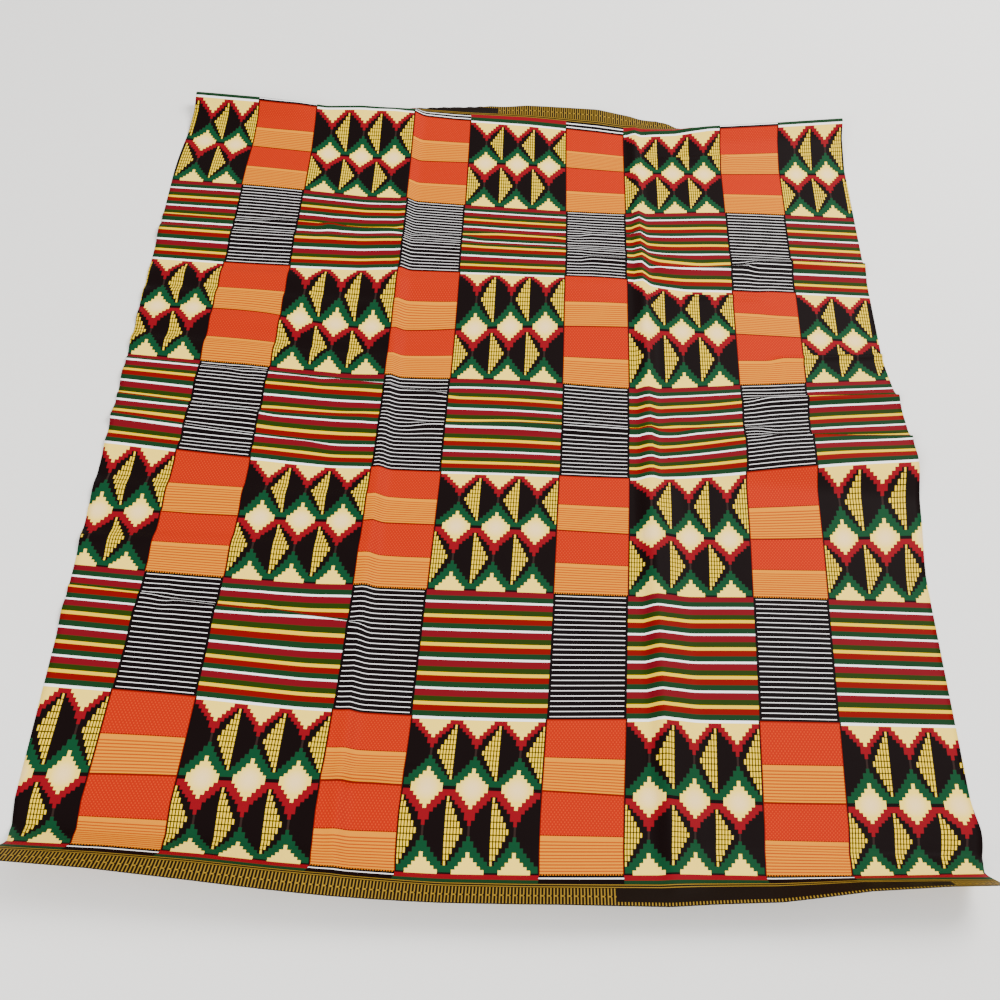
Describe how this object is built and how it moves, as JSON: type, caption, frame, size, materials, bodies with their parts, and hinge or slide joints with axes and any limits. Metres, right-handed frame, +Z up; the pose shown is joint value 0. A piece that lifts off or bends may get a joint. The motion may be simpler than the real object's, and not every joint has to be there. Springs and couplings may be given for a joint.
{
  "type": "wax print cloth length",
  "caption": "Plain length of wax print cotton spread on a floor, with soft folds and with one woven edge curling up off it",
  "frame": {"origin": "the middle of the spread cloth, on the surface that it lies on", "axes": "+X runs along the woven edges from the left cut end to the right one, +Y runs across the cloth from the near woven edge to the far one, +Z is up from the floor to the printed side"},
  "size_m": [0.931, 1.085, 0.0494],
  "materials": {
    "printed_cotton": "crisp wax print cotton with a slight gloss; orange, black, red, green, yellow and white bands and blocks"
  },
  "bodies": {
    "root": {"cloth": "printed_cotton"}
  },
  "joints": []
}
